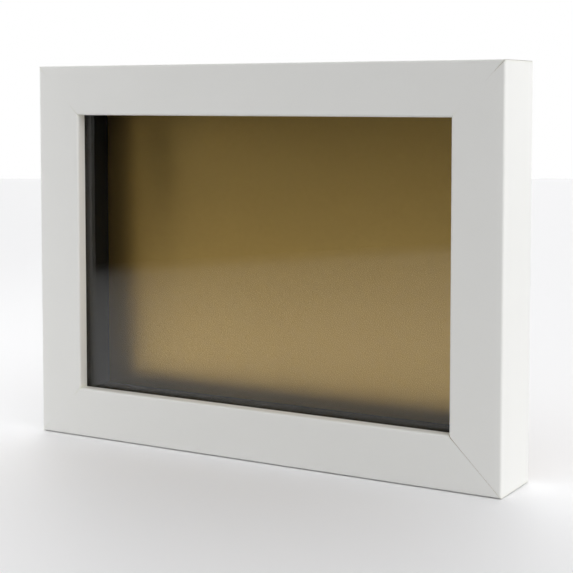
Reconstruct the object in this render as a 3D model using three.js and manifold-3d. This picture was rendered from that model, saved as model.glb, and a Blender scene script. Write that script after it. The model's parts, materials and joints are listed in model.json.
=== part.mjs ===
// A rear-loaded shadow box that stands on its own lower rail: a deep mitred moulding, sheet
// glass behind its lip, four black spacers that hold the glass away from a gold card, and a
// back panel kept in by six turn buttons. Millimetres, +Z up, the front faces -Y, and the
// origin is the middle of the frame's underside.
import * as THREE from 'three';
import { mergeVertices } from 'three/addons/utils/BufferGeometryUtils.js';
import Module from 'manifold-3d';

const wasm = await Module();
wasm.setup();

// ---------------------------------------------------------------- driving dimensions
const frameWidth = 246;
const frameHeight = 183;
const frameDepth = 32;
const faceWidth = 24;           // width of the moulding, seen from the front
const lipDepth = 5.5;           // thickness of the lip in front of the glass
const lipOverlap = 6.8;         // how far the lip covers the glass
const faceRadius = 1.0;         // rounding of the outer front edge
const lipRadius = 1.3;          // rounding of the lip's front edge
const rearRadius = 0.5;         // rounding of the outer rear edge
const mitreGap = 0.2;           // open joint between two rails
const fit = 0.3;                // clearance between pieces that touch
const panelRecess = 0.3;        // back panel below the rails' rear face

const glassThickness = 2;
const spacerThickness = 4.8;
const cardThickness = 1;
const panelThickness = 3;

const nailLeg = 6;              // each leg of a V nail, along its rail
const nailThickness = 0.6;
const nailDepth = 10;
const nailPlaces = [4.8, 11.6]; // distance of a V nail's bend from both outer faces

const plateThickness = 0.9;     // turn button
const plateHeadRadius = 4.5;
const plateTipRadius = 2.75;
const plateReach = 18;          // from the screw to the middle of the tip
const buttonSpread = 60;        // on the long rails, from the middle
const sideButtonHeight = 62;    // on the short rails, above the table

const screwHeadRadius = 3;
const screwHeadHeight = 2;
const screwRadius = 1.3;
const screwLength = 11;
const screwTaper = 3;
const recessLength = 3.4;       // cross recess of the head
const recessWidth = 0.7;
const recessDepth = 1.2;

const hangerHeight = 140;       // axis of the hanging rings, above the table
const ringWire = 0.9;           // radius of the ring's wire
const ringHalfWidth = 6.1;      // to the middle of the wire
const ringSide = 6;             // straight side, before the round end
const ringCorner = 1.6;
const ringJoint = 0.3;          // butt joint of the wire, inside the strap
const strapWidth = 8;
const strapMetal = 0.8;
const strapBore = 1.15;         // radius of the fold round the wire
const strapEnd = 10.8;          // from the ring's axis down to the strap's end
const strapScrew = 6.6;         // from the ring's axis down to the strap's screw

const bumperRadius = 5;
const bumperHeight = 4.6;
const bumperFlat = 2.6;         // radius of the bumper's flat end
const bumperSpread = 100;       // from the middle of the lower rail

// ---------------------------------------------------------------- derived sizes
const wallThickness = faceWidth - lipOverlap;        // the rail behind its lip
const insideWidth = frameWidth - 2 * wallThickness;  // between the rails' inner walls
const insideHeight = frameHeight - 2 * wallThickness;
const paneWidth = insideWidth - 2 * fit;             // glass, card and back panel
const paneHeight = insideHeight - 2 * fit;
const railMiddle = wallThickness / 2;                // middle of the rails' rear face

// Depths are counted from the front face.
const glassFront = lipDepth + fit;
const glassBack = glassFront + glassThickness;
const panelBack = frameDepth - panelRecess;
const panelFront = panelBack - panelThickness;
const cardBack = panelFront - fit;
const cardFront = cardBack - cardThickness;
const spacerFront = glassBack + fit;
const spacerBack = cardFront - fit;
const plateFront = frameDepth + fit;
const buttonHeadSeat = plateFront + plateThickness + fit;
const strapFront = frameDepth + fit;
const strapFace = strapFront + 2 * strapMetal;       // outer face where the strap is doubled
const ringDepth = strapFront + strapMetal + strapBore;

const fromFront = (depth) => depth - frameDepth / 2;

// ---------------------------------------------------------------- materials
const finish = (color, roughness, metalness = 0) =>
  new THREE.MeshStandardMaterial({ color, roughness, metalness });
const whiteLacquer = finish(0xf0f0ec, 0.42);
const clearGlass = finish(0xdfe8e4, 0.02);
clearGlass.transparent = true;
clearGlass.opacity = 0.2;
const blackBoard = finish(0x171615, 0.7);
const goldCard = finish(0xb8905a, 0.35, 0.8);
const brownFibreboard = finish(0x8a6a48, 0.85);
const zincSteel = finish(0xb4b6b8, 0.35, 1);
const brassPlate = finish(0xb99a55, 0.35, 1);
const whiteRubber = finish(0xe6e4de, 0.8);

// ---------------------------------------------------------------- helpers
const solidOf = (geometry) => {
  const bare = geometry.clone();
  bare.deleteAttribute('normal');
  bare.deleteAttribute('uv');
  const merged = mergeVertices(bare);
  return new wasm.Manifold(new wasm.Mesh({
    numProp: 3,
    vertProperties: new Float32Array(merged.attributes.position.array),
    triVerts: new Uint32Array(merged.index.array),
  }));
};

const geometryOf = (solid) => {
  const mesh = solid.getMesh();
  const geometry = new THREE.BufferGeometry();
  geometry.setAttribute('position', new THREE.BufferAttribute(mesh.vertProperties, 3));
  geometry.setIndex(new THREE.BufferAttribute(mesh.triVerts, 1));
  geometry.computeVertexNormals();
  return geometry;
};

const cut = (geometry, cutters) => geometryOf(
  cutters.reduce((solid, cutter) => solid.subtract(solidOf(cutter)), solidOf(geometry)),
);

const piece = (name, geometry, material) => {
  const mesh = new THREE.Mesh(geometry, material);
  mesh.name = name;
  return mesh;
};

// Where two curves of an outline meet, a point can come twice. It is kept once.
const pointsOnce = (points) => points.filter(
  (point, i) => point.distanceTo(points[(i + 1) % points.length]) > 1e-6,
);

// An outline is run anticlockwise, because only then are the sides of its holes turned
// to face the right way.
const extrude = (shape, depth, curveSegments = 4) => {
  const { shape: outer, holes } = shape.extractPoints(curveSegments);
  if (THREE.ShapeUtils.isClockWise(outer)) outer.reverse();
  const clean = new THREE.Shape(pointsOnce(outer));
  clean.holes = holes.map((hole) => new THREE.Path(pointsOnce(hole)));
  return new THREE.ExtrudeGeometry(clean, { depth, bevelEnabled: false });
};

// A flat shape drawn in X and Z, with its thickness between two depths.
const sheet = (shape, front, back, curveSegments = 4) =>
  extrude(shape, back - front, curveSegments)
    .rotateX(Math.PI / 2)
    .translate(0, fromFront(back), 0);

// A box between two corners, given in X, depth and Z.
const block = ([x0, front, z0], [x1, back, z1]) =>
  new THREE.BoxGeometry(x1 - x0, back - front, z1 - z0)
    .translate((x0 + x1) / 2, fromFront((front + back) / 2), (z0 + z1) / 2);

// A round rod along Y, between two depths.
const rod = (radius, front, back, x, z) =>
  new THREE.CylinderGeometry(radius, radius, back - front, 16)
    .translate(x, fromFront((front + back) / 2), z);

// ---------------------------------------------------------------- rails
// A rail's own frame has X along it, Y through its depth and Z from its outer face inwards.
const railSection = () => {
  const lipEdge = faceWidth - lipRadius;
  const rearEdge = frameDepth - rearRadius;
  const section = new THREE.Shape();
  section.moveTo(0, faceRadius);
  section.absarc(faceRadius, faceRadius, faceRadius, Math.PI, 1.5 * Math.PI, false);
  section.lineTo(lipEdge, 0);
  section.absarc(lipEdge, lipRadius, lipRadius, -0.5 * Math.PI, 0, false);
  section.lineTo(faceWidth, lipDepth);
  section.lineTo(wallThickness, lipDepth);
  section.lineTo(wallThickness, frameDepth);
  section.lineTo(rearRadius, frameDepth);
  section.absarc(rearRadius, rearEdge, rearRadius, 0.5 * Math.PI, Math.PI, false);
  return section;
};

// The section is drawn in width and depth, so its extrusion is turned to lie along X. Then
// both ends are slid to the mitre planes.
const mitredRail = (length) => {
  const geometry = extrude(railSection(), length)
    .translate(0, -frameDepth / 2, -length / 2)
    .rotateY(-Math.PI / 2);
  const point = geometry.attributes.position;
  for (let i = 0; i < point.count; i += 1) {
    const end = length / 2 - point.getZ(i) - mitreGap * Math.SQRT1_2;
    point.setX(i, Math.sign(point.getX(i)) * end);
  }
  return geometry;
};

// A V nail across the mitre at one end of a rail, side -1 or 1: one leg runs along this rail
// and the other along its neighbour. Grown by a clearance it is the slot for that nail.
const vNail = (length, side, place, clearance = 0) => {
  const bend = length / 2 - place;
  const half = nailThickness / 2 + clearance;
  const reach = nailLeg + clearance;
  const outline = new THREE.Shape([
    new THREE.Vector2(side * (bend + half), place - half),
    new THREE.Vector2(side * (bend + half), place + reach),
    new THREE.Vector2(side * (bend - half), place + reach),
    new THREE.Vector2(side * (bend - half), place + half),
    new THREE.Vector2(side * (bend - reach), place + half),
    new THREE.Vector2(side * (bend - reach), place - half),
  ]);
  const back = clearance > 0 ? frameDepth + 1 : panelBack;
  return sheet(outline, panelBack - nailDepth - clearance, back);
};

// Pilot hole for a screw whose head sits at the depth seat.
const pilotHole = ({ along, seat }) =>
  rod(screwRadius + fit, seat - screwLength - fit, frameDepth + 1, along, railMiddle);

const railBody = (length, screws) => {
  const slots = nailPlaces.flatMap((place) =>
    [-1, 1].map((side) => vNail(length, side, place, fit)));
  return cut(mitredRail(length), [...slots, ...screws.map(pilotHole)]);
};

// ---------------------------------------------------------------- fasteners
// Pan-head screw along Y, with its head's underside at y = 0.
const screwBody = () => {
  const profile = [
    [0, -screwLength],
    [screwRadius * 0.35, -screwLength + 0.3],
    [screwRadius, -screwLength + screwTaper],
    [screwRadius, 0],
    [screwHeadRadius, 0],
    [screwHeadRadius, screwHeadHeight * 0.4],
    [screwHeadRadius * 0.88, screwHeadHeight * 0.75],
    [screwHeadRadius * 0.6, screwHeadHeight * 0.95],
    [0, screwHeadHeight],
  ].map(([radius, y]) => new THREE.Vector2(radius, y));
  const recess = (width, length) => new THREE.BoxGeometry(width, 2 * recessDepth, length)
    .translate(0, screwHeadHeight, 0);
  return cut(new THREE.LatheGeometry(profile, 20), [
    recess(recessLength, recessWidth),
    recess(recessWidth, recessLength),
  ]);
};

// Turn button about its screw, at x = z = 0, with its tongue along X in the direction side.
const turnButtonBody = (side) => {
  const lean = Math.acos((plateHeadRadius - plateTipRadius) / plateReach);
  const outline = new THREE.Shape();
  outline.absarc(0, 0, plateHeadRadius, lean, 2 * Math.PI - lean, false);
  outline.absarc(plateReach, 0, plateTipRadius, -lean, lean, false);
  const hole = new THREE.Path();
  hole.absarc(0, 0, screwRadius + fit, 0, 2 * Math.PI, true);
  outline.holes.push(hole);
  return sheet(outline, plateFront, plateFront + plateThickness, 8)
    .rotateY(side > 0 ? 0 : Math.PI);
};

// ---------------------------------------------------------------- hanging rings
// D-shaped ring that hangs from its bar, which lies along X at x = z = 0. The wire's ends
// meet in the middle of the bar.
class RingPath extends THREE.Curve {
  constructor() {
    super();
    const corner = ringHalfWidth - ringCorner;
    this.outline = new THREE.Path();
    this.outline.moveTo(ringJoint / 2, 0);
    this.outline.lineTo(corner, 0);
    this.outline.absarc(corner, -ringCorner, ringCorner, Math.PI / 2, 0, true);
    this.outline.lineTo(ringHalfWidth, -ringSide);
    this.outline.absarc(0, -ringSide, ringHalfWidth, 0, -Math.PI, true);
    this.outline.lineTo(-ringHalfWidth, -ringCorner);
    this.outline.absarc(-corner, -ringCorner, ringCorner, Math.PI, Math.PI / 2, true);
    this.outline.lineTo(-ringJoint / 2, 0);
  }

  getPoint(t, target = new THREE.Vector3()) {
    const { x, y } = this.outline.getPoint(t);
    return target.set(x, fromFront(ringDepth), y);
  }
}

const ringBody = () => {
  const wire = new THREE.Shape();
  wire.absarc(0, 0, ringWire, 0, 2 * Math.PI, false);
  return new THREE.ExtrudeGeometry(new THREE.Shape(pointsOnce(wire.getPoints(5))), {
    extrudePath: new RingPath(),
    steps: 44,
    bevelEnabled: false,
  });
};

// Metal strap folded over the ring's bar, doubled below it, with one screw hole.
const strapBody = () => {
  const fold = strapBore + strapMetal;
  const doubled = strapFace - ringDepth;
  const profile = new THREE.Shape();
  profile.moveTo(-fold, -strapEnd);
  profile.lineTo(-fold, 0);
  profile.absarc(0, 0, fold, Math.PI, -0.2 * Math.PI, true);
  profile.lineTo(doubled, -strapScrew + screwHeadRadius + fit);
  profile.lineTo(doubled, -strapEnd);
  const bore = new THREE.Path();
  bore.absarc(0, 0, strapBore, 0, 2 * Math.PI, true);
  profile.holes.push(bore);
  const acrossX = new THREE.Matrix4().makeBasis(
    new THREE.Vector3(0, 1, 0),
    new THREE.Vector3(0, 0, 1),
    new THREE.Vector3(1, 0, 0),
  );
  const folded = extrude(profile, strapWidth, 6)
    .applyMatrix4(acrossX)
    .translate(-strapWidth / 2, fromFront(ringDepth), 0);

  const halfWidth = strapWidth / 2;
  const face = new THREE.Shape();
  face.moveTo(halfWidth, 2 * fold);
  face.lineTo(-halfWidth, 2 * fold);
  face.lineTo(-halfWidth, -strapEnd + halfWidth);
  face.absarc(0, -strapEnd + halfWidth, halfWidth, Math.PI, 2 * Math.PI, false);
  const trim = sheet(face, frameDepth, frameDepth + 4 * fold);
  const hole = rod(screwRadius + fit, frameDepth, frameDepth + 4 * fold, 0, -strapScrew);
  return geometryOf(
    solidOf(folded).intersect(solidOf(trim)).subtract(solidOf(hole)),
  );
};

// Soft bumper with a flat end, on the rails' rear face.
const bumperBody = () => {
  const profile = [
    [0, 0],
    [bumperRadius, 0],
    [bumperRadius, bumperHeight * 0.35],
    [bumperRadius * 0.93, bumperHeight * 0.62],
    [bumperRadius * 0.77, bumperHeight * 0.86],
    [bumperFlat, bumperHeight],
    [0, bumperHeight],
  ].map(([radius, y]) => new THREE.Vector2(radius, y));
  return new THREE.LatheGeometry(profile, 24);
};

// ---------------------------------------------------------------- assembly
const shadowBox = new THREE.Group();
const strapSeat = strapFace + fit;
const strapScrewHeight = hangerHeight - strapScrew;

// Each rail's turn buttons say where their screw is and which way their tongue rests.
const pairOfButtons = [
  { tag: '_a', along: -buttonSpread, side: 1 },
  { tag: '_b', along: buttonSpread, side: -1 },
];
const rails = [
  {
    name: 'lower', length: frameWidth, angle: 0, x: 0, z: 0, buttons: pairOfButtons,
  },
  {
    name: 'upper', length: frameWidth, angle: Math.PI, x: 0, z: frameHeight,
    buttons: pairOfButtons,
  },
  {
    name: 'right', length: frameHeight, angle: -Math.PI / 2, x: frameWidth / 2,
    z: frameHeight / 2,
    buttons: [{ tag: '', along: sideButtonHeight - frameHeight / 2, side: -1 }],
    strapAlong: strapScrewHeight - frameHeight / 2,
  },
  {
    name: 'left', length: frameHeight, angle: Math.PI / 2, x: -frameWidth / 2,
    z: frameHeight / 2,
    buttons: [{ tag: '', along: frameHeight / 2 - sideButtonHeight, side: 1 }],
    strapAlong: frameHeight / 2 - strapScrewHeight,
  },
];

for (const rail of rails) {
  const isLong = rail.length === frameWidth;
  const group = new THREE.Group();
  group.position.set(rail.x, 0, rail.z);
  group.rotation.y = rail.angle;
  shadowBox.add(group);

  const screws = rail.buttons.map(({ along }) => ({ along, seat: buttonHeadSeat }));
  if (rail.strapAlong !== undefined) {
    screws.push({ along: rail.strapAlong, seat: strapSeat });
  }
  group.add(piece(`${rail.name}_rail`, railBody(rail.length, screws), whiteLacquer));

  // The long spacers run the full width, and the short ones stand between them.
  const half = isLong
    ? paneWidth / 2
    : paneHeight / 2 - spacerThickness - fit;
  group.add(piece(
    `${rail.name}_spacer`,
    block(
      [-half, spacerFront, wallThickness + fit],
      [half, spacerBack, wallThickness + fit + spacerThickness],
    ),
    blackBoard,
  ));

  for (const { tag, along, side } of rail.buttons) {
    const button = piece(`${rail.name}_turn_button${tag}`, turnButtonBody(side), brassPlate);
    button.position.set(along, 0, railMiddle);
    const screw = piece(`${rail.name}_button_screw${tag}`, screwBody(), zincSteel);
    screw.position.set(along, fromFront(buttonHeadSeat), railMiddle);
    group.add(button, screw);
  }

  if (isLong) {
    for (const side of [-1, 1]) {
      const sideName = side * Math.cos(rail.angle) > 0 ? 'right' : 'left';
      nailPlaces.forEach((place, index) => {
        const name = `${rail.name}_${sideName}_v_nail_${index ? 'inner' : 'outer'}`;
        group.add(piece(name, vNail(rail.length, side, place), zincSteel));
      });
    }
  }
}

// Glass, gold card and back panel share one outline, inside the rails' walls.
const pane = (front, back) => block(
  [-paneWidth / 2, front, wallThickness + fit],
  [paneWidth / 2, back, wallThickness + fit + paneHeight],
);
shadowBox.add(
  piece('glass_pane', pane(glassFront, glassBack), clearGlass),
  piece('gold_backing_card', pane(cardFront, cardBack), goldCard),
  piece('back_panel', pane(panelFront, panelBack), brownFibreboard),
);

for (const [sideName, side] of [['left', -1], ['right', 1]]) {
  const x = side * (frameWidth / 2 - railMiddle);
  const ring = piece(`${sideName}_hanging_ring`, ringBody(), zincSteel);
  const strap = piece(`${sideName}_ring_strap`, strapBody(), zincSteel);
  const screw = piece(`${sideName}_strap_screw`, screwBody(), zincSteel);
  const bumper = piece(`${sideName}_wall_bumper`, bumperBody(), whiteRubber);
  ring.position.set(x, 0, hangerHeight);
  strap.position.set(x, 0, hangerHeight);
  screw.position.set(x, fromFront(strapSeat), strapScrewHeight);
  bumper.position.set(side * bumperSpread, fromFront(frameDepth + fit), railMiddle);
  shadowBox.add(ring, strap, screw, bumper);
}

export default shadowBox;
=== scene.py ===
"""Looks for the shadow box: white lacquered box frame, glass, black walls and a satin gold back."""

import json
import math

import bmesh
import bpy
from mathutils import Matrix, Vector


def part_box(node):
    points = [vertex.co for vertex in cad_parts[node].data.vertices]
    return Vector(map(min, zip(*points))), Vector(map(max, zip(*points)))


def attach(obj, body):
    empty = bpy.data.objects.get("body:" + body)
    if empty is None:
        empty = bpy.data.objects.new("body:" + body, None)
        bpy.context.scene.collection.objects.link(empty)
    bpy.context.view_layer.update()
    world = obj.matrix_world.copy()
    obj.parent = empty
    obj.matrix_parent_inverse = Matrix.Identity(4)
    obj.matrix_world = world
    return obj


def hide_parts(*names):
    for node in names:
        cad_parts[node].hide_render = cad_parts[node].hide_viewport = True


MM = 0.001

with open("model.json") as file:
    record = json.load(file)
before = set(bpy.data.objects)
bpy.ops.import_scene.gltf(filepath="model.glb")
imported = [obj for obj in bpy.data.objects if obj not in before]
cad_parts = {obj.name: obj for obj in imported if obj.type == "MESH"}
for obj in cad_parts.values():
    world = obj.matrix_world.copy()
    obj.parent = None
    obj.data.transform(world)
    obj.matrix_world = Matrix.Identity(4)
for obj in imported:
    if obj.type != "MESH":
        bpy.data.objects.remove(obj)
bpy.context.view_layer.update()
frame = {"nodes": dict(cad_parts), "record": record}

# ------------------------------------------------------------------ camera
CAMERA_PLACE = (0.3361, -0.5593, 0.1660)
CAMERA_HEADING = 30.24  # degrees, turned from +Y towards -X
CAMERA_PITCH = 3.83  # degrees, down
SENSOR_WIDTH = 36  # mm
LENS = 88.3  # mm
LENS_SHIFT = -0.16  # keeps the frame's uprights nearly parallel


def make_camera():
    """The camera, in front of the box and to its right, just below the height of its top."""
    data = bpy.data.cameras.new("camera")
    data.sensor_width = SENSOR_WIDTH
    data.lens = LENS
    data.shift_y = LENS_SHIFT
    data.clip_start = 0.01
    data.clip_end = 50
    camera = bpy.data.objects.new("camera", data)
    camera.location = CAMERA_PLACE
    camera.rotation_euler = (
        math.radians(90 - CAMERA_PITCH),
        0,
        math.radians(CAMERA_HEADING),
    )
    bpy.context.collection.objects.link(camera)
    bpy.context.scene.camera = camera


# ------------------------------------------------------------------ node helpers
class Nodes:
    """A material's or world's node tree, with short calls to add and join nodes."""

    def __init__(self, owner):
        owner.use_nodes = True
        self.tree = owner.node_tree
        self.tree.nodes.clear()

    def add(self, kind, links=None, **settings):
        """Adds a node. links sets its inputs, by name or index, to a socket or a value."""
        node = self.tree.nodes.new(kind)
        for name, value in settings.items():
            setattr(node, name, value)
        for key, value in (links or {}).items():
            self.put(node.inputs[key], value)
        return node

    def put(self, socket, value):
        """Sets a socket: another socket is linked to it, and anything else is its value."""
        if isinstance(value, bpy.types.NodeSocket):
            self.tree.links.new(value, socket)
        else:
            socket.default_value = value

    def math(self, operation, a, b=0.0, clamp=False):
        """A sum of one or two values, held within 0 and 1 if clamp is set."""
        node = self.add("ShaderNodeMath", {0: a, 1: b}, operation=operation)
        node.use_clamp = clamp
        return node.outputs[0]

    def between(self, value, low, high, to_low=0.0, to_high=1.0, smooth=False):
        """Maps value from low..high to to_low..to_high, and holds it outside that range."""
        node = self.add(
            "ShaderNodeMapRange",
            {"Value": value, "From Min": low, "From Max": high, "To Min": to_low, "To Max": to_high},
            clamp=True,
            interpolation_type="SMOOTHSTEP" if smooth else "LINEAR",
        )
        return node.outputs["Result"]

    def mix(self, share, a, b):
        """A colour between a, at 0, and b, at 1."""
        node = self.add("ShaderNodeMix", {"Factor": share}, data_type="RGBA")
        self.put(node.inputs[6], a)
        self.put(node.inputs[7], b)
        return node.outputs[2]

    def noise(self, place, scale, detail=2.0, roughness=0.5, distortion=0.0):
        """Soft noise of so many cells to the metre."""
        return self.add(
            "ShaderNodeTexNoise",
            {
                "Vector": place,
                "Scale": scale,
                "Detail": detail,
                "Roughness": roughness,
                "Distortion": distortion,
            },
        ).outputs["Fac"]

    def cells(self, place, scale):
        """A Voronoi pattern: how far each point is from its cell's middle, and a colour per cell."""
        node = self.add("ShaderNodeTexVoronoi", {"Vector": place, "Scale": scale})
        return node.outputs["Distance"], node.outputs["Color"]

    def place(self):
        """The point's place in the object's own frame, in metres."""
        return self.add("ShaderNodeTexCoord").outputs["Object"]

    def axes(self, place):
        """The X, Y and Z of a place, as three sockets."""
        return self.add("ShaderNodeSeparateXYZ", {0: place}).outputs

    def stretched(self, place, scale):
        """A place scaled by X, Y and Z, so that a pattern on it shrinks by as much."""
        return self.add(
            "ShaderNodeMapping", {"Vector": place, "Scale": scale}
        ).outputs["Vector"]

    def bump(self, height, distance, strength=1.0, normal=None):
        """A bumped normal, on top of another one if it is given."""
        node = self.add(
            "ShaderNodeBump",
            {"Height": height, "Distance": distance, "Strength": strength},
        )
        if normal is not None:
            self.put(node.inputs["Normal"], normal)
        return node.outputs["Normal"]

    def surface(self, links):
        """A Principled shader with these inputs."""
        return self.add("ShaderNodeBsdfPrincipled", links)

    def finish(self, shader, kind="ShaderNodeOutputMaterial"):
        """Sends a shader to the tree's output."""
        self.put(self.add(kind).inputs["Surface"], shader)


def new_material(name):
    """An empty material, and the calls that fill it."""
    material = bpy.data.materials.new(name)
    return material, Nodes(material)


# ------------------------------------------------------------------ stage
TABLE_HALF = 3.0
TABLE_LEFT = 0.78  # the table's left edge, from the camera's line of sight
TABLE_SHADE_FADE = 0.12  # painted shade: the width over which the table's colour fades to black at that edge, a blurred edge as the glass mirrors it
TABLE_SHADE_REACH = 0.55  # how far from that edge the painted shade in the table's colour reaches before it is full white
TABLE_SHADE_LEVEL = 0.40  # the painted shade's colour share at that edge, beside full white
TABLE_WHITE = (0.86, 0.86, 0.87, 1)
TABLE_DROP = 0.3 * MM  # the frame's underside isn't dead flat, so it stands this much clear


def make_stage():
    """A white table, whose left edge runs along the camera's line of sight.

    The camera sees it white all over. For every other ray its colour is painted darker towards
    the left edge, a painted shade for the dark room there, so its mirror image in the glass
    grows dimmer towards that edge.
    """
    heading = math.radians(CAMERA_HEADING)
    right = Vector((math.cos(heading), math.sin(heading), 0))
    ahead = Vector((-math.sin(heading), math.cos(heading), 0))
    middle = Vector((CAMERA_PLACE[0], CAMERA_PLACE[1], -TABLE_DROP))
    near_left = middle - right * TABLE_LEFT - ahead * TABLE_HALF
    corners = [
        near_left,
        near_left + right * 2 * TABLE_HALF,
        near_left + right * 2 * TABLE_HALF + ahead * 2 * TABLE_HALF,
        near_left + ahead * 2 * TABLE_HALF,
    ]
    mesh = bpy.data.meshes.new("table")
    mesh.from_pydata(corners, [], [(0, 1, 2, 3)])
    table = bpy.data.objects.new("table", mesh)
    bpy.context.collection.objects.link(table)

    material, nodes = new_material("table")
    reach = nodes.add(
        "ShaderNodeVectorMath", {0: nodes.place(), 1: right}, operation="DOT_PRODUCT"
    ).outputs["Value"]
    edge = near_left.dot(right)
    # Painted shade: for every ray but the camera's, the table's colour darkens towards its left edge
    # and fades to black at it.
    painted_dimming = nodes.between(reach, edge, edge + TABLE_SHADE_REACH, TABLE_SHADE_LEVEL, 1.0)
    painted_edge_fade = nodes.between(reach, edge, edge + TABLE_SHADE_FADE, 0.0, 1.0, smooth=True)
    share = nodes.math("MULTIPLY", painted_dimming, painted_edge_fade)
    ray = nodes.add("ShaderNodeLightPath")
    colour = nodes.mix(
        nodes.math("MAXIMUM", share, ray.outputs["Is Camera Ray"]), (0, 0, 0, 1), TABLE_WHITE
    )
    shader = nodes.surface({"Base Color": colour, "Roughness": 0.6})
    nodes.finish(shader.outputs[0])
    mesh.materials.append(material)


# The studio's soft lights: the way to the middle of each, how far round it reaches in
# degrees, and its strength beside the white backdrop's.
SOFT_LIGHTS = (
    ((-0.75, 0.70, 0.25), 60, 1.10),
    ((0.00, 1.00, 0.20), 70, 1.22),
    ((1.00, 0.05, 0.30), 60, 0.96),
    ((0.50, -0.40, 0.75), 50, 1.55),
    ((-0.20, -0.45, 0.87), 35, 0.25),
)
ROOM_GLOW = 0.008  # what the dark parts of the room give
CARD_PLACE = (-0.64, -0.21, 0.24)  # a small light panel beside the box, on its left
CARD_SIZE = (0.38, 0.3)
CARD_WATTS = 1.35


def make_light():
    """Soft lights behind, on the right and overhead, a dark room in front on the left, and a card.

    The camera sees a white backdrop in place of the soft lights.
    """
    world = bpy.data.worlds.new("studio")
    bpy.context.scene.world = world
    nodes = Nodes(world)
    direction = nodes.add("ShaderNodeTexCoord").outputs["Generated"]
    level = ROOM_GLOW
    for middle, reach, strength in SOFT_LIGHTS:
        towards = nodes.add(
            "ShaderNodeVectorMath",
            {0: direction, 1: Vector(middle).normalized()},
            operation="DOT_PRODUCT",
        ).outputs["Value"]
        edge = math.cos(math.radians(reach))
        one = nodes.between(towards, edge, 1.0, 0.0, strength, smooth=True)
        level = nodes.math("ADD", one, level)
    seen = nodes.add("ShaderNodeBackground", {"Color": (1, 1, 1, 1), "Strength": 1.0})
    lights = nodes.add("ShaderNodeBackground", {"Color": (1, 1, 1, 1), "Strength": level})
    ray = nodes.add("ShaderNodeLightPath")
    both = nodes.add(
        "ShaderNodeMixShader",
        {0: ray.outputs["Is Camera Ray"], 1: lights.outputs[0], 2: seen.outputs[0]},
    )
    nodes.finish(both.outputs[0], "ShaderNodeOutputWorld")

    card = bpy.data.lights.new("side_card", "AREA")
    card.shape = "RECTANGLE"
    card.size, card.size_y = CARD_SIZE
    card.energy = CARD_WATTS
    holder = bpy.data.objects.new("side_card", card)
    holder.location = CARD_PLACE
    aim = Vector((0, 0, CARD_PLACE[2] / 2)) - Vector(CARD_PLACE)
    holder.rotation_euler = aim.to_track_quat("-Z", "Y").to_euler()
    holder.visible_camera = False
    bpy.context.collection.objects.link(holder)


# ------------------------------------------------------------------ sizes, from the frame
FIT = 0.3 * MM  # clearance between pieces that touch
LOW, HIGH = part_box("lower_rail")
HALF_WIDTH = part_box("right_rail")[1][0]
FRONT = LOW[1]
REAR = HIGH[1]
FACE_WIDTH = HIGH[2]
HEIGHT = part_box("upper_rail")[1][2]
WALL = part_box("glass_pane")[0][2] - FIT  # the rail's thickness behind its lip
LIP_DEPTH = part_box("glass_pane")[0][1] - FIT - FRONT
FACE_RADIUS = 1.0 * MM
LIP_RADIUS = 1.3 * MM
REAR_RADIUS = 0.5 * MM
NAIL_THICKNESS = 0.6 * MM
NAIL_CLEARANCE = 0.03 * MM
PILOT_RADIUS = 1.32 * MM
HOLE_SEGMENTS = 24


# ------------------------------------------------------------------ materials
def from_edge(nodes, place):
    """How far a point is from the nearest outer side of the frame, and from a mitre."""
    x, _, z = nodes.axes(place)
    across = nodes.math("SUBTRACT", HALF_WIDTH, nodes.math("ABSOLUTE", x))
    up = nodes.math("MINIMUM", z, nodes.math("SUBTRACT", HEIGHT, z))
    edge = nodes.math("MINIMUM", across, up)
    mitre = nodes.math("ABSOLUTE", nodes.math("SUBTRACT", across, up))
    return edge, mitre


def white_lacquer():
    """Satin white lacquer: faint clouds, fine orange peel, and glue showing at the mitres."""
    material, nodes = new_material("white_lacquer")
    place = nodes.place()
    cloud = nodes.noise(place, 14, 3)
    colour = nodes.mix(cloud, (0.84, 0.84, 0.815, 1), (0.875, 0.875, 0.85, 1))
    edge, mitre = from_edge(nodes, place)
    joint = nodes.between(mitre, 0.1 * MM, 1.6 * MM, 1.0, 0.0, smooth=True)
    ends = nodes.between(
        nodes.math("ABSOLUTE", nodes.math("SUBTRACT", edge, FACE_WIDTH / 2)),
        FACE_WIDTH * 0.30,
        FACE_WIDTH * 0.48,
    )
    glue = nodes.math("MULTIPLY", joint, nodes.math("MULTIPLY", ends, nodes.noise(place, 160)))
    colour = nodes.mix(glue, colour, (0.79, 0.795, 0.72, 1))
    peel = nodes.noise(place, 900, 2)
    grit = nodes.noise(place, 4200, 2)
    shader = nodes.surface(
        {
            "Base Color": colour,
            "Roughness": nodes.between(cloud, 0.3, 0.7, 0.36, 0.44),
            "Normal": nodes.bump(
                grit, 0.004 * MM, 0.6, nodes.bump(peel, 0.02 * MM, 0.6)
            ),
        }
    )
    nodes.finish(shader.outputs[0])
    return material


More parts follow.
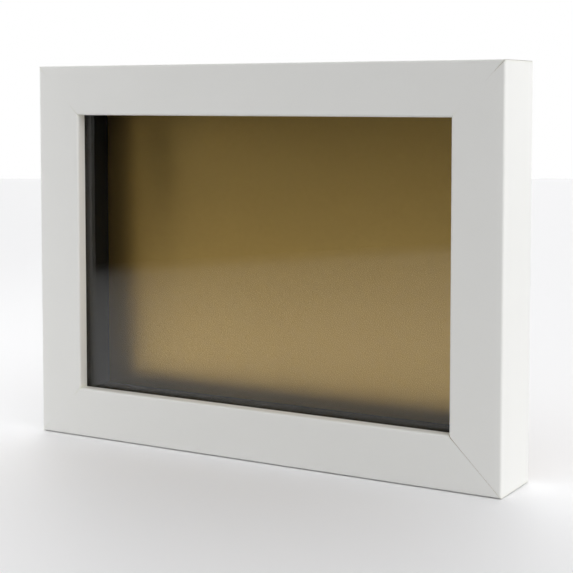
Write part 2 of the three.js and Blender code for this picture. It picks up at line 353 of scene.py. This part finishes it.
def bare_board():
    """The rails' bare rear: pressed wood fibres, with lacquer overspray along the outer edge."""
    material, nodes = new_material("bare_board")
    place = nodes.place()
    felt = nodes.noise(place, 480, 6, 0.75)
    flecks = nodes.noise(place, 2600, 3, 0.6)
    blotch = nodes.noise(place, 60, 3)
    colour = nodes.mix(
        nodes.between(felt, 0.25, 0.75), (0.29, 0.205, 0.125, 1), (0.50, 0.385, 0.26, 1)
    )
    colour = nodes.mix(
        nodes.between(flecks, 0.60, 0.72, 0.0, 0.55), colour, (0.21, 0.14, 0.085, 1)
    )
    colour = nodes.mix(
        nodes.between(blotch, 0.35, 0.75, 0.0, 0.35), colour, (0.44, 0.33, 0.22, 1)
    )
    edge, _ = from_edge(nodes, place)
    ragged = nodes.math("ADD", edge, nodes.between(felt, 0.3, 0.7, -0.4 * MM, 0.4 * MM))
    spray = nodes.between(ragged, 0.5 * MM, 2.6 * MM, 0.9, 0.0, smooth=True)
    colour = nodes.mix(spray, colour, (0.80, 0.79, 0.75, 1))
    shader = nodes.surface(
        {
            "Base Color": colour,
            "Roughness": nodes.between(spray, 0.0, 1.0, 0.85, 0.5),
            "Normal": nodes.bump(flecks, 0.05 * MM, 0.6, nodes.bump(felt, 0.08 * MM, 0.5)),
        }
    )
    nodes.finish(shader.outputs[0])
    return material


def black_board():
    """Matte black paper over card, with a fine tooth."""
    material, nodes = new_material("black_board")
    place = nodes.place()
    tooth = nodes.noise(place, 2400, 3, 0.6)
    fibres = nodes.noise(nodes.stretched(place, (1, 4, 1)), 500, 3)
    shader = nodes.surface(
        {
            "Base Color": nodes.mix(fibres, (0.004, 0.004, 0.004, 1), (0.008, 0.008, 0.007, 1)),
            "Roughness": nodes.between(tooth, 0.3, 0.7, 0.68, 0.78),
            "Specular IOR Level": 0.12,
            "Normal": nodes.bump(tooth, 0.012 * MM, 0.5),
        }
    )
    nodes.finish(shader.outputs[0])
    return material


def gold_foil():
    """Satin gold foil on card: mottled at a millimetre, with a rolled grain and rare pinholes."""
    material, nodes = new_material("gold_foil")
    place = nodes.place()
    mottle = nodes.noise(place, 420, 4, 0.65)
    drift = nodes.noise(place, 26, 3)
    rolled = nodes.noise(nodes.stretched(place, (10, 1, 1)), 300, 3)
    colour = nodes.mix(mottle, (0.615, 0.393, 0.118, 1), (0.69, 0.453, 0.147, 1))
    colour = nodes.mix(
        nodes.between(drift, 0.3, 0.7, 0.0, 0.5), colour, (0.655, 0.44, 0.147, 1)
    )
    distance, tint = nodes.cells(place, 150)
    rare = nodes.between(nodes.axes(tint)[0], 0.955, 0.960)
    hole = nodes.math("MULTIPLY", nodes.between(distance, 0.03, 0.045, 1.0, 0.0), rare)
    colour = nodes.mix(hole, colour, (0.92, 0.86, 0.70, 1))
    shader = nodes.surface(
        {
            "Base Color": colour,
            "Metallic": 1.0,
            "Roughness": nodes.between(rolled, 0.3, 0.7, 0.35, 0.41),
            "Normal": nodes.bump(
                rolled, 0.004 * MM, 0.6, nodes.bump(mottle, 0.012 * MM, 0.8)
            ),
        }
    )
    nodes.finish(shader.outputs[0])
    return material


def clear_glass():
    """Glass that bends what the camera sees, and lets light through to the box."""
    material, nodes = new_material("clear_glass")
    glass = nodes.surface(
        {
            "Base Color": (0.985, 1.0, 0.99, 1),
            "Roughness": 0.0,
            "IOR": 1.45,
            "Transmission Weight": 1.0,
        }
    )
    clear = nodes.add("ShaderNodeBsdfTransparent", {"Color": (0.92, 0.93, 0.925, 1)})
    ray = nodes.add("ShaderNodeLightPath")
    glossy, mirrored = ray.outputs["Is Glossy Ray"], ray.outputs["Is Singular Ray"]
    blurred = nodes.math("SUBTRACT", glossy, mirrored, clamp=True)
    passing = nodes.math("MAXIMUM", ray.outputs["Is Shadow Ray"], ray.outputs["Is Diffuse Ray"])
    passing = nodes.math("MAXIMUM", passing, blurred)
    both = nodes.add("ShaderNodeMixShader", {0: passing, 1: glass.outputs[0], 2: clear.outputs[0]})
    nodes.finish(both.outputs[0])
    return material


def fibreboard():
    """Hardboard: long brown fibres pressed flat, darker flecks and a faint sheen."""
    material, nodes = new_material("fibreboard")
    place = nodes.place()
    fibres = nodes.noise(nodes.stretched(place, (1, 1, 2.2)), 300, 7, 0.78, 1.2)
    flecks = nodes.noise(nodes.stretched(place, (2.5, 1, 1)), 1100, 3, 0.6)
    clouds = nodes.noise(place, 16, 4, 0.6)
    colour = nodes.mix(
        nodes.between(fibres, 0.25, 0.75), (0.085, 0.044, 0.019, 1), (0.235, 0.138, 0.066, 1)
    )
    colour = nodes.mix(
        nodes.between(flecks, 0.60, 0.70, 0.0, 0.6), colour, (0.065, 0.035, 0.016, 1)
    )
    colour = nodes.mix(
        nodes.between(clouds, 0.40, 0.65, 0.0, 0.5), colour, (0.20, 0.116, 0.054, 1)
    )
    shader = nodes.surface(
        {
            "Base Color": colour,
            "Roughness": nodes.between(fibres, 0.3, 0.7, 0.62, 0.78),
            "Normal": nodes.bump(
                flecks, 0.02 * MM, 0.6, nodes.bump(fibres, 0.06 * MM, 0.5)
            ),
        }
    )
    nodes.finish(shader.outputs[0])
    return material


def metal(name, bright, dull, roughness, scratch):
    """Plated metal: dulled in patches, with tumbling scratches."""
    material, nodes = new_material(name)
    place = nodes.place()
    patches = nodes.noise(place, 240, 4, 0.6)
    lines = nodes.noise(nodes.stretched(place, (1, 1, 7)), 900, 3, 0.6, 0.6)
    pits = nodes.noise(place, 3200, 2)
    shader = nodes.surface(
        {
            "Base Color": nodes.mix(nodes.between(patches, 0.3, 0.75), bright, dull),
            "Metallic": 1.0,
            "Roughness": nodes.between(
                nodes.math("ADD", patches, nodes.math("MULTIPLY", lines, 0.5)),
                0.5,
                1.0,
                roughness,
                roughness + 0.16,
            ),
            "Normal": nodes.bump(
                pits, 0.006 * MM, 0.5, nodes.bump(lines, scratch, 0.5)
            ),
        }
    )
    nodes.finish(shader.outputs[0])
    return material


def white_rubber():
    """Soft milky rubber with a fine bloom."""
    material, nodes = new_material("white_rubber")
    place = nodes.place()
    bloom = nodes.noise(place, 600, 3)
    shader = nodes.surface(
        {
            "Base Color": nodes.mix(bloom, (0.60, 0.59, 0.55, 1), (0.68, 0.67, 0.63, 1)),
            "Roughness": nodes.between(bloom, 0.3, 0.7, 0.48, 0.62),
            "Subsurface Weight": 0.15,
            "Subsurface Radius": (1.0, 0.9, 0.8),
            "Subsurface Scale": 0.8 * MM,
            "Normal": nodes.bump(bloom, 0.02 * MM, 0.5),
        }
    )
    nodes.finish(shader.outputs[0])
    return material


LACQUER = white_lacquer()
BARE = bare_board()
BLACK = black_board()
FIBRE = fibreboard()
ZINC = metal("zinc_steel", (0.60, 0.62, 0.645, 1), (0.46, 0.465, 0.47, 1), 0.24, 0.008 * MM)
NAIL = metal("nail_steel", (0.46, 0.46, 0.46, 1), (0.30, 0.29, 0.28, 1), 0.34, 0.01 * MM)
BRASS = metal("brass_plate", (0.62, 0.45, 0.175, 1), (0.44, 0.31, 0.12, 1), 0.26, 0.008 * MM)
RUBBER = white_rubber()


# ------------------------------------------------------------------ mesh helpers
WELD_REACH = 0.001 * MM
FLAT_ANGLE = 1  # degrees: faces that meet at less than this become one
EDGE_ANGLE = 30  # degrees: edges that turn by more than this are rounded over


def arc(middle, radius, start, end, steps):
    """Points on an arc, from start to end in degrees."""
    points = []
    for i in range(steps + 1):
        turn = math.radians(start + (end - start) * i / steps)
        points.append((middle[0] + radius * math.cos(turn), middle[1] + radius * math.sin(turn)))
    return points


def circle(middle, radius, segments):
    """Points all the way round a circle."""
    return arc(middle, radius, 0, 360, segments)[:-1]


def turned_ring(radius, y, segments):
    """Points round the Y axis, at a height along it."""
    return [(x, y, z) for x, z in circle((0, 0), radius, segments)]


def skin(rings):
    """A mesh over rings of equally many points. The first and last ring are filled in."""
    mesh = bpy.data.meshes.new("skin")
    count = len(rings[0])
    points = [point for ring in rings for point in ring]
    faces = []
    for row in range(len(rings) - 1):
        for i in range(count):
            j = (i + 1) % count
            a, b = row * count, (row + 1) * count
            faces.append((a + i, a + j, b + j, b + i))
    faces.append(tuple(reversed(range(count))))
    faces.append(tuple(range((len(rings) - 1) * count, len(rings) * count)))
    mesh.from_pydata([Vector(p) for p in points], [], faces)
    turn_outwards(mesh)
    return mesh


def turn_outwards(mesh):
    """Makes every face of a mesh look outwards."""
    work = bmesh.new()
    work.from_mesh(mesh)
    bmesh.ops.recalc_face_normals(work, faces=work.faces)
    work.to_mesh(mesh)
    work.free()


def weld(mesh):
    """Joins the points of a mesh that lie in one place."""
    work = bmesh.new()
    work.from_mesh(mesh)
    bmesh.ops.remove_doubles(work, verts=work.verts, dist=WELD_REACH)
    work.to_mesh(mesh)
    work.free()


def smooth(mesh, sharpest=30):
    """Shades a mesh smooth, with hard edges where it turns by more than sharpest degrees."""
    mesh.polygons.foreach_set("use_smooth", [True] * len(mesh.polygons))
    mesh.set_sharp_from_angle(angle=math.radians(sharpest))


def prism(outline, low, high):
    """An upright outline of X and Z, with its thickness from low to high along Y."""
    return skin([[(x, y, z) for x, z in outline] for y in (low, high)])


def lathe(profile, segments):
    """A turned solid along Y. profile is radius and Y, and starts and ends on the axis."""
    return skin([turned_ring(radius, y, segments) for radius, y in profile[1:-1]])


def joined(meshes):
    """One mesh that holds copies of several."""
    work = bmesh.new()
    for mesh in meshes:
        work.from_mesh(mesh)
    whole = bpy.data.meshes.new("joined")
    work.to_mesh(whole)
    work.free()
    return whole


def evaluated(holder):
    """The mesh of an object, with its modifiers or its curve worked out. The object is removed."""
    bpy.context.view_layer.update()
    graph = bpy.context.evaluated_depsgraph_get()
    result = bpy.data.meshes.new_from_object(holder.evaluated_get(graph))
    bpy.data.objects.remove(holder)
    return result


def cut(mesh, cutter):
    """The mesh with the cutter taken out of it."""
    holder = bpy.data.objects.new("holder", mesh)
    tool = bpy.data.objects.new("tool", cutter)
    for thing in (holder, tool):
        bpy.context.collection.objects.link(thing)
    modifier = holder.modifiers.new("cut", "BOOLEAN")
    modifier.operation = "DIFFERENCE"
    modifier.object = tool
    modifier.solver = "EXACT"
    result = evaluated(holder)
    bpy.data.objects.remove(tool)
    return result


def from_curve(curve):
    """The mesh of a curve."""
    holder = bpy.data.objects.new("holder", curve)
    bpy.context.collection.objects.link(holder)
    return evaluated(holder)


def add_line(curve, points, closed):
    """Adds straight stretches between points of X, Y and Z to a curve."""
    spline = curve.splines.new("POLY")
    spline.points.add(len(points) - 1)
    for item, point in zip(spline.points, points):
        item.co = (*point, 1)
    spline.use_cyclic_u = closed


def eased(mesh, width, segments):
    """The mesh with its sharp edges rounded over."""
    work = bmesh.new()
    work.from_mesh(mesh)
    bmesh.ops.remove_doubles(work, verts=work.verts, dist=WELD_REACH)
    bmesh.ops.dissolve_limit(
        work, angle_limit=math.radians(FLAT_ANGLE), verts=work.verts, edges=work.edges
    )
    limit = math.radians(EDGE_ANGLE)
    edges = [e for e in work.edges if e.is_manifold and e.calc_face_angle() > limit]
    bmesh.ops.bevel(
        work,
        geom=edges,
        offset=width,
        segments=segments,
        profile=0.5,
        affect="EDGES",
        clamp_overlap=True,
    )
    result = bpy.data.meshes.new("eased")
    work.to_mesh(result)
    work.free()
    return result


def piece(name, mesh, materials, body, slot, *stands_for):
    """Puts a mesh in the scene as one piece of the object."""
    mesh.name = name
    mesh.materials.clear()  # this also puts every face back on the first material
    for material in materials:
        mesh.materials.append(material)
    thing = bpy.data.objects.new(name, mesh)
    bpy.context.collection.objects.link(thing)
    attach(thing, body)
    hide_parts(*stands_for)


def body_of(node):
    """The name of the CAD body that a node belongs to."""
    bodies = frame["record"]["behaviour"]["bodies"]
    return next(body for body, members in bodies.items() if node in members)


def centre(node):
    """The middle of a CAD node's box."""
    low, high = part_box(node)
    return (Vector(low) + Vector(high)) / 2


# ------------------------------------------------------------------ rails
SECTION_STEPS = 8  # steps in each rounded corner of the section
FACE_STEPS = 10  # points across the face, so that a mitre's gap can vary
EDGE_BREAK = 0.007 * MM  # tiny chamfer at each mitre
REAR_GAP = 0.04 * MM  # how far each rail's end draws back at its rear, so the mitres show there
MITRE_LEAN = 0.6  # a mitred face's normal has more than this along its rail, its chamfer's less

# How wide each mitre stands open, at its outer end, its middle and its inner end.
MITRES = {
    "lower_left": (0.006 * MM, 0.004 * MM, 0.006 * MM),
    "lower_right": (0.08 * MM, 0.10 * MM, 0.28 * MM),
    "upper_left": (0.005 * MM, 0.004 * MM, 0.07 * MM),
    "upper_right": (0.24 * MM, 0.002 * MM, 0.002 * MM),
}

# Each rail: its length, the turn of its own frame about Y, where that frame stands, and the
# corners at its -X and +X ends.
RAILS = {
    "lower": (2 * HALF_WIDTH, 0, (0, 0, 0), ("lower_left", "lower_right")),
    "upper": (2 * HALF_WIDTH, 180, (0, 0, HEIGHT), ("upper_right", "upper_left")),
    "right": (HEIGHT, -90, (HALF_WIDTH, 0, HEIGHT / 2), ("lower_right", "upper_right")),
    "left": (HEIGHT, 90, (-HALF_WIDTH, 0, HEIGHT / 2), ("upper_left", "lower_left")),
}


def rail_section():
    """The rail's outline, as distance from its outer face and depth from its front."""
    depth = REAR - FRONT
    points = arc((FACE_RADIUS, FACE_RADIUS), FACE_RADIUS, 180, 270, SECTION_STEPS)
    across = FACE_WIDTH - LIP_RADIUS - FACE_RADIUS
    for i in range(1, FACE_STEPS):
        points.append((FACE_RADIUS + across * i / FACE_STEPS, 0))
    points += arc((FACE_WIDTH - LIP_RADIUS, LIP_RADIUS), LIP_RADIUS, -90, 0, SECTION_STEPS)
    points.append((FACE_WIDTH, LIP_DEPTH))
    points.append((WALL, LIP_DEPTH))
    points.append((WALL, depth))
    points += arc((REAR_RADIUS, depth - REAR_RADIUS), REAR_RADIUS, 90, 180, SECTION_STEPS)
    return points


def inset(outline, distance):
    """The outline, run anticlockwise, drawn in by a small distance."""
    result = []
    count = len(outline)
    for i in range(count):
        here = Vector(outline[i])
        before = (here - Vector(outline[i - 1])).normalized()
        after = (Vector(outline[(i + 1) % count]) - here).normalized()
        normals = Vector((-before.y, before.x)), Vector((-after.y, after.x))
        both = (normals[0] + normals[1]) / (1 + normals[0].dot(normals[1]))
        result.append(tuple(here + both * distance))
    return result


def gap_at(corner, inwards):
    """Half a mitre's gap, measured along the rail, at a distance from the outer face."""
    outer, middle, inner = MITRES[corner]
    along = 2 * min(inwards / FACE_WIDTH, 1) - 1
    open_end = outer if along < 0 else inner
    return (middle + (open_end - middle) * abs(along) ** 3) * math.sqrt(0.5)


def mitred_ring(outline, length, side, corner, back_off):
    """A section set at one mitre of a rail, back_off short of it."""
    ring = []
    for inwards, depth in outline:
        gap = gap_at(corner, inwards) + REAR_GAP * depth / (REAR - FRONT)
        along = length / 2 - inwards - gap - back_off
        ring.append((side * along, FRONT + depth, inwards))
    return ring


def nail_slot(node):
    """The slot for a V nail, whose two legs run inwards from its outer corner."""
    (x0, y0, z0), (x1, _, z1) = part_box(node)
    middle = centre(node)
    side = 1 if middle.x > 0 else -1
    lift = 1 if middle.z > HEIGHT / 2 else -1
    grow = NAIL_CLEARANCE
    outer_x, inner_x = (x1 + grow, x0 - grow) if side > 0 else (x0 - grow, x1 + grow)
    outer_z, inner_z = (z1 + grow, z0 - grow) if lift > 0 else (z0 - grow, z1 + grow)
    metal_width = NAIL_THICKNESS + 2 * grow
    outline = [
        (outer_x, outer_z),
        (outer_x, inner_z),
        (outer_x - side * metal_width, inner_z),
        (outer_x - side * metal_width, outer_z - lift * metal_width),
        (inner_x, outer_z - lift * metal_width),
        (inner_x, outer_z),
    ]
    return prism(outline, y0 - grow, REAR + MM)


def pilot_hole(node):
    """The hole that a screw's thread sits in."""
    low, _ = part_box(node)
    middle = centre(node)
    outline = circle((middle.x, middle.z), PILOT_RADIUS, HOLE_SEGMENTS)
    return prism(outline, low[1] - FIT, REAR + MM)


def is_bare(middle, normal):
    """True for a rail's unlacquered faces, given in the rail's own frame."""
    inner_wall = abs(middle.z - WALL) < 0.01 * MM
    hole_side = middle.y > FRONT + 2 * LIP_DEPTH and middle.z > REAR_RADIUS
    faces_back = normal.y > 0.9
    return faces_back or abs(normal.x) > MITRE_LEAN or inner_wall or hole_side


def make_rail(name, cutter):
    """One rail with its mitred ends, V-nail slots and pilot holes, bare where it isn't seen."""
    length, turn, stand, corners = RAILS[name]
    section = rail_section()
    drawn_in = inset(section, EDGE_BREAK)
    slope = EDGE_BREAK * math.sqrt(2)
    mesh = skin(
        [
            mitred_ring(drawn_in, length, -1, corners[0], 0),
            mitred_ring(section, length, -1, corners[0], slope),
            mitred_ring(section, length, 1, corners[1], slope),
            mitred_ring(drawn_in, length, 1, corners[1], 0),
        ]
    )
    place = Matrix.Translation(stand) @ Matrix.Rotation(math.radians(turn), 4, "Y")
    mesh.transform(place)
    mesh = cut(mesh, cutter.copy())
    smooth(mesh)
    piece(f"{name}_moulding", mesh, (LACQUER, BARE), "frame", "white_lacquer", f"{name}_rail")
    back = place.inverted()
    for face in mesh.polygons:
        face.material_index = int(is_bare(back @ face.center, back.to_3x3() @ face.normal))


def make_rails():
    """The four rails, cut by the V nails and the screws that sit in them."""
    nodes = frame["nodes"]
    slots = [nail_slot(node) for node in nodes if "v_nail" in node]
    holes = [pilot_hole(node) for node in nodes if "screw" in node]
    cutter = joined(slots + holes)
    for name in RAILS:
        make_rail(name, cutter)


# ------------------------------------------------------------------ boards inside the frame
def make_board(node, material, slot, rounding):
    """A flat board with its edges eased, where a CAD node stands."""
    (x0, y0, z0), (x1, y1, z1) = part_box(node)
    mesh = eased(prism([(x0, z0), (x1, z0), (x1, z1), (x0, z1)], y0, y1), rounding, 3)
    smooth(mesh, 40)
    piece(f"{node}_board", mesh, (material,), body_of(node), slot, node)


# ------------------------------------------------------------------ turn buttons and screws
PLATE_TIP = 2.75 * MM
PLATE_EASE = 0.14 * MM
DIMPLE_RADIUS = 2.6 * MM
DIMPLE_DEPTH = 0.32 * MM
DIMPLE_PLACE = 0.93  # of the way from the screw to the middle of the tip
SCREW_HOLE = 1.6 * MM


def make_turn_button(node, screw):
    """A stamped plate with eased edges, a screw hole and a finger dimple at its tip."""
    (x0, y0, z0), (x1, y1, z1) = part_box(node)
    pivot = centre(screw)
    ends = ((x0 - pivot.x, 0), (x1 - pivot.x, 0), (0, z0 - pivot.z), (0, z1 - pivot.z))
    far = Vector(max(ends, key=lambda end: abs(end[0]) + abs(end[1])))
    head = min(x1 - x0, z1 - z0) / 2
    reach = far.length - PLATE_TIP
    lean = math.degrees(math.acos((head - PLATE_TIP) / reach))
    heading = math.degrees(math.atan2(far.y, far.x))
    outline = arc((0, 0), head, lean, 360 - lean, 40)
    outline += arc((reach, 0), PLATE_TIP, -lean, lean, 24)

    curve = bpy.data.curves.new("plate", "CURVE")
    curve.dimensions = "2D"
    curve.fill_mode = "BOTH"
    for line in (outline, circle((0, 0), SCREW_HOLE, HOLE_SEGMENTS)):
        add_line(curve, [(x, y, 0) for x, y in line], closed=True)
    curve.extrude = (y1 - y0) / 2 - PLATE_EASE
    curve.bevel_depth = PLATE_EASE
    curve.bevel_resolution = 2
    curve.offset = -PLATE_EASE
    mesh = from_curve(curve)
    weld(mesh)

    ball = lathe(arc((0, 0), DIMPLE_RADIUS, 90, -90, 24), 48)
    top = (y1 - y0) / 2
    sunk = top + DIMPLE_RADIUS - DIMPLE_DEPTH
    ball.transform(Matrix.Rotation(math.radians(90), 4, "X"))
    ball.transform(Matrix.Translation((reach * DIMPLE_PLACE, 0, -sunk)))
    mesh = cut(mesh, ball)
    mesh.transform(Matrix.Rotation(math.radians(90), 4, "X"))
    mesh.transform(Matrix.Rotation(math.radians(-heading), 4, "Y"))
    mesh.transform(Matrix.Translation((pivot.x, (y0 + y1) / 2, pivot.z)))
    smooth(mesh, 35)
    piece(f"{node}_plate", mesh, (BRASS,), body_of(node), "brass_plate", node)


SCREW_CORE = 0.95 * MM
SCREW_OUTER = 1.3 * MM
SCREW_PITCH = 1.05 * MM
SCREW_TAPER = 3.0 * MM
SCREW_NECK = 1.2 * MM
SCREW_POINT = 0.12  # the radius left at the very point, as a share of the shank's
SCREW_SEGMENTS = 24
THREAD_FLANK = 0.28  # half of the thread's width at its foot, as a share of the pitch
THREAD_ROWS = 9  # rings in each turn of the thread
HEAD_HEIGHT = 2.0 * MM
HEAD_RADIUS = 3.0 * MM
HEAD_BAND = 0.30  # how much of the head's height stands upright, below its crown
HEAD_STEPS = 9
HEAD_FULLNESS = 0.72  # 1 is a quarter of an ellipse, and less is squarer
CROSS_LENGTH = 3.4 * MM
CROSS_WIDTH = 0.75 * MM
CROSS_DEPTH = 1.2 * MM
CROSS_FLOOR = 0.6  # the recess's size at its floor, beside its mouth
CROSS_OVER = 1.1  # and above the head
SQUARE = ((-1, -1), (1, -1), (1, 1), (-1, 1))
FIRST_TURN = 17  # degrees that the first screw's cross has stopped at
NEXT_TURN = 37  # degrees from each screw's cross to the next one's


def screw_shank_radius(y, turn, bottom):
    """Radius of the threaded shank at a height and a turn, under the head at y = 0."""
    phase = (y / SCREW_PITCH - turn / (2 * math.pi)) % 1
    ridge = max(0.0, 1 - abs(phase - 0.5) / THREAD_FLANK)
    ridge *= min(1.0, max(0.0, (-y - SCREW_NECK) / SCREW_PITCH))
    radius = SCREW_CORE + (SCREW_OUTER - SCREW_CORE) * ridge
    point = min(1.0, (y - bottom) / SCREW_TAPER)
    return radius * (SCREW_POINT + (1 - SCREW_POINT) * point)


def screw_mesh(bottom):
    """A pan-head screw along Y, with its thread below y = 0 and a cross recess in its head."""
    rings = []
    rows = int(-bottom / (SCREW_PITCH / THREAD_ROWS))
    for row in range(rows + 1):
        y = bottom * (1 - row / rows)
        ring = []
        for i in range(SCREW_SEGMENTS):
            turn = 2 * math.pi * i / SCREW_SEGMENTS
            radius = screw_shank_radius(y, turn, bottom)
            ring.append((radius * math.cos(turn), y, radius * math.sin(turn)))
        rings.append(ring)

    head = [(HEAD_RADIUS * 0.96, 0.0)]
    head += [(HEAD_RADIUS, HEAD_HEIGHT * 0.06), (HEAD_RADIUS, HEAD_HEIGHT * HEAD_BAND)]
    for i in range(1, HEAD_STEPS):
        lean = math.radians(90 * i / HEAD_STEPS)
        radius = HEAD_RADIUS * math.cos(lean) ** HEAD_FULLNESS
        head.append((radius, HEAD_HEIGHT * (HEAD_BAND + (1 - HEAD_BAND) * math.sin(lean))))
    rings += [turned_ring(radius, y, SCREW_SEGMENTS) for radius, y in head]

    mesh = skin(rings)
    for length, width in ((CROSS_LENGTH, CROSS_WIDTH), (CROSS_WIDTH, CROSS_LENGTH)):
        mesh = cut(mesh, cross_slot(length, width))
    return mesh


def cross_slot(length, width):
    """One slot of the cross recess, narrower at its floor, and open above the head."""
    levels = (
        (HEAD_HEIGHT - CROSS_DEPTH, CROSS_FLOOR),
        (HEAD_HEIGHT, 1),
        (HEAD_HEIGHT * 1.25, CROSS_OVER),
    )
    rings = []
    for y, share in levels:
        half_x, half_z = length / 2 * share, width / 2 * share
        rings.append([(side_x * half_x, y, side_z * half_z) for side_x, side_z in SQUARE])
    return skin(rings)


def make_screws():
    """All the screws, each with its cross stopped at its own angle."""
    nodes = [node for node in frame["nodes"] if "screw" in node]
    (_, bottom, _), (_, top, _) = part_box(nodes[0])
    pattern = screw_mesh(bottom - (top - HEAD_HEIGHT))
    for i, node in enumerate(nodes):
        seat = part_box(node)[1][1] - HEAD_HEIGHT
        mesh = pattern.copy()
        middle = centre(node)
        mesh.transform(Matrix.Rotation(math.radians(FIRST_TURN + NEXT_TURN * i), 4, "Y"))
        mesh.transform(Matrix.Translation((middle.x, seat, middle.z)))
        smooth(mesh, 32)
        piece(f"{node}_threaded", mesh, (ZINC,), body_of(node), "zinc_steel", node)


# ------------------------------------------------------------------ hanging rings, bumpers
RING_CORNER = 1.6 * MM
RING_JOINT = 0.3 * MM
BUMPER_SHOULDER = 0.62  # the rounded shoulder's share of the bumper's height
BUMPER_FLAT = 0.50  # the flat end's share of its radius
BUMPER_STEPS = 14


def make_ring(node):
    """A D ring of round wire, hanging from its bar. The wire's ends meet inside the strap."""
    low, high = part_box(node)
    wire = (high[1] - low[1]) / 2
    half = (high[0] - low[0]) / 2 - wire
    side = high[2] - low[2] - 2 * wire - half
    corner = half - RING_CORNER
    path = [(RING_JOINT / 2, 0)]
    path += arc((corner, -RING_CORNER), RING_CORNER, 90, 0, 10)
    path += arc((0, -side), half, 0, -180, 48)
    path += arc((-corner, -RING_CORNER), RING_CORNER, 180, 90, 10)
    path.append((-RING_JOINT / 2, 0))
    curve = bpy.data.curves.new("wire", "CURVE")
    curve.dimensions = "3D"
    middle = centre(node)
    bar = high[2] - wire
    add_line(curve, [(middle.x + x, middle.y, bar + z) for x, z in path], closed=False)
    curve.bevel_depth = wire
    curve.bevel_resolution = 6
    curve.use_fill_caps = True
    mesh = from_curve(curve)
    weld(mesh)
    turn_outwards(mesh)
    smooth(mesh, 40)
    piece(f"{node}_wire", mesh, (ZINC,), body_of(node), "zinc_steel", node)


def make_strap(node):
    """The folded strap, with its edges eased as by tumbling."""
    mesh = eased(frame["nodes"][node].data, 0.12 * MM, 2)
    smooth(mesh, 35)
    piece(f"{node}_metal", mesh, (ZINC,), body_of(node), "zinc_steel", node)


def make_bumper(node):
    """A moulded bumper: a low drum with a rounded shoulder and a flat end."""
    low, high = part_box(node)
    radius = (high[0] - low[0]) / 2
    height = high[1] - low[1]
    shoulder = height * BUMPER_SHOULDER
    profile = [(0, 0), (radius * 0.97, 0), (radius, height * 0.04), (radius, height - shoulder)]
    for i in range(1, BUMPER_STEPS + 1):
        lean = math.radians(90 * i / BUMPER_STEPS)
        across = radius * (BUMPER_FLAT + (1 - BUMPER_FLAT) * math.cos(lean))
        profile.append((across, height - shoulder + shoulder * math.sin(lean)))
    profile.append((0, height))
    mesh = lathe(profile, 64)
    middle = centre(node)
    mesh.transform(Matrix.Translation((middle.x, low[1], middle.z)))
    smooth(mesh, 35)
    piece(f"{node}_moulded", mesh, (RUBBER,), body_of(node), "white_rubber", node)


# ------------------------------------------------------------------ assembly
def dress(material, *words):
    """Gives a material to every CAD node whose name holds one of the words."""
    for name, node in frame["nodes"].items():
        if any(word in name for word in words):
            node.data.materials.clear()
            node.data.materials.append(material)


make_camera()
make_stage()
make_light()
make_rails()
for rail_name in RAILS:
    make_board(f"{rail_name}_spacer", BLACK, "black_board", 0.15 * MM)
make_board("back_panel", FIBRE, "fibreboard", 0.35 * MM)
for button in [node for node in frame["nodes"] if "turn_button" in node]:
    make_turn_button(button, button.replace("turn_button", "button_screw"))
make_screws()
for side_name in ("left", "right"):
    make_ring(f"{side_name}_hanging_ring")
    make_strap(f"{side_name}_ring_strap")
    make_bumper(f"{side_name}_wall_bumper")
dress(clear_glass(), "glass_pane")
dress(gold_foil(), "gold_backing_card")
dress(NAIL, "v_nail")

bpy.context.scene.view_settings.view_transform = "Standard"
